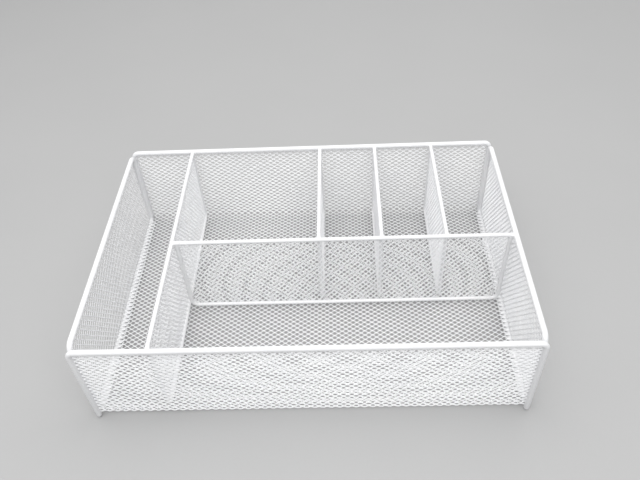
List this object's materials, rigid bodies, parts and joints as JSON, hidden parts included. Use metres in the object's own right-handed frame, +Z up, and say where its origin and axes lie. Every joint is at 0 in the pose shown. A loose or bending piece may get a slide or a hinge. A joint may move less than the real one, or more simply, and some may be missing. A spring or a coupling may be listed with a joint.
{
  "type": "drawer organizer insert",
  "caption": "Welded wire-frame tray of expanded-metal mesh with open-top compartments, for organising supplies in a desk drawer.",
  "frame": {"origin": "under the middle of the tray, on the surface that it stands on", "axes": "+X to the tray's right along its longest side, +Y to its back, +Z up; the full-depth long compartment is at -X and the wide front compartment at -Y"},
  "size_m": [0.38, 0.26, 0.097],
  "materials": {
    "rod_coat": "white powder coat, satin, on round steel rod",
    "mesh_coat": "white powder coat, satin, on expanded steel mesh"
  },
  "bodies": {
    "root": {"front_frame": "rod_coat", "back_frame": "rod_coat", "left_end_frame": "rod_coat", "right_end_frame": "rod_coat", "long_divider_frame": "rod_coat", "cross_divider_frame": "rod_coat", "short_divider_1_frame": "rod_coat", "short_divider_2_frame": "rod_coat", "short_divider_3_frame": "rod_coat", "basket_mesh": "mesh_coat", "left_end_mesh": "mesh_coat", "right_end_mesh": "mesh_coat", "long_divider_mesh": "mesh_coat", "cross_divider_mesh": "mesh_coat", "short_divider_1_mesh": "mesh_coat", "short_divider_2_mesh": "mesh_coat", "short_divider_3_mesh": "mesh_coat"}
  },
  "joints": []
}
